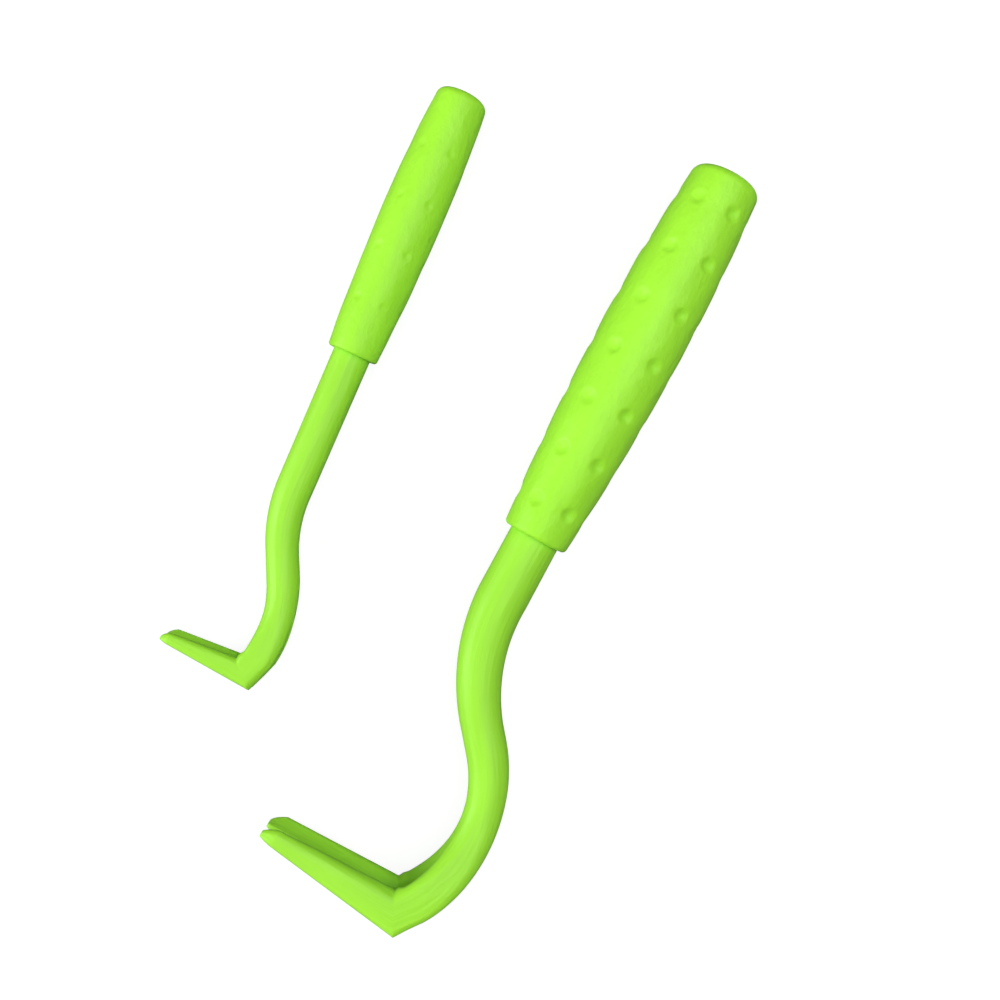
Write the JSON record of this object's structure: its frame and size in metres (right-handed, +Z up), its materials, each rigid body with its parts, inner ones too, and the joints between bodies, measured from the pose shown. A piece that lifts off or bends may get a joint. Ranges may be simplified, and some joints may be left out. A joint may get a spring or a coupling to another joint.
{
  "type": "pair of slotted tick lifting hooks",
  "caption": "Pair of slim hooked lifting tools in lime plastic: a dimpled barrel grip, a curved gooseneck and a flattened two-tined fork with a V slot for levering small things out.",
  "frame": {"origin": "middle of the pair's footprint, on the surface that both tools lie on", "axes": "+Z up out of that surface; +Y towards the small tool's butt end, along the layout's longest side; +X to the right, towards the large tool"},
  "size_m": [0.095, 0.1342, 0.0141],
  "materials": {
    "hook_plastic": "satin gloss, moulded",
    "grip_plastic": "satin gloss, moulded, dimpled"
  },
  "bodies": {
    "large_tool": {"large_hook": "hook_plastic", "large_grip": "grip_plastic"},
    "small_tool": {"small_hook": "hook_plastic", "small_grip": "grip_plastic"}
  },
  "joints": [
    {"name": "small_tool_lift", "type": "slide", "parent": "large_tool", "child": "small_tool", "axis": [0, 0, 1], "range_m": [0, 0.08]}
  ]
}
